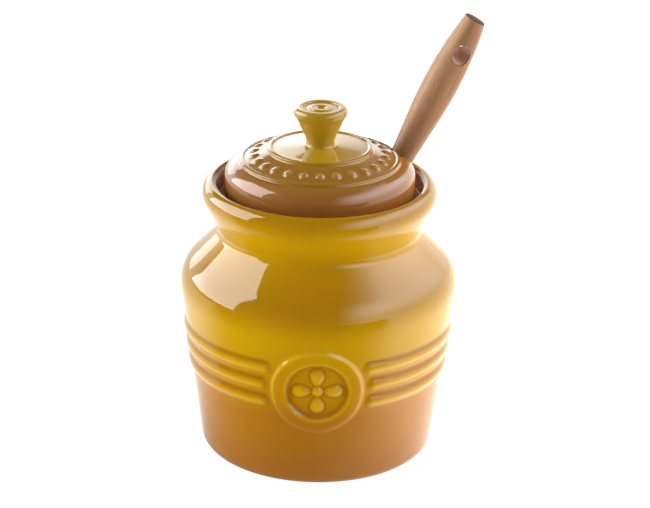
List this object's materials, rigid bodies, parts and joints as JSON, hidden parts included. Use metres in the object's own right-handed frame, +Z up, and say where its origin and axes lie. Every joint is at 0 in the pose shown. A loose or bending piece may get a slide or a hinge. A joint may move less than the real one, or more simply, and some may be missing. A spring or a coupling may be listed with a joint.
{
  "type": "mustard pot",
  "caption": "Glazed stoneware mustard pot with round belly, ribbed wall, front medallion, knobbed lid and a turned beech spoon leaning out of it.",
  "frame": {"origin": "centre of the foot ring, on the surface the pot stands on", "axes": "+Z up along the pot's axis, the medallion faces -Y, the spoon leans towards +X and +Y"},
  "size_m": [0.1105, 0.1027, 0.1608],
  "materials": {
    "glaze": "glossy glazed stoneware, mustard yellow at the top running to orange brown at the bottom",
    "lid_glaze": "glossy glazed stoneware, orange brown with a yellow crown and knob",
    "beech": "oiled turned beech, satin"
  },
  "bodies": {
    "root": {"pot": "glaze", "lid": "lid_glaze", "spoon": "beech"}
  },
  "joints": []
}
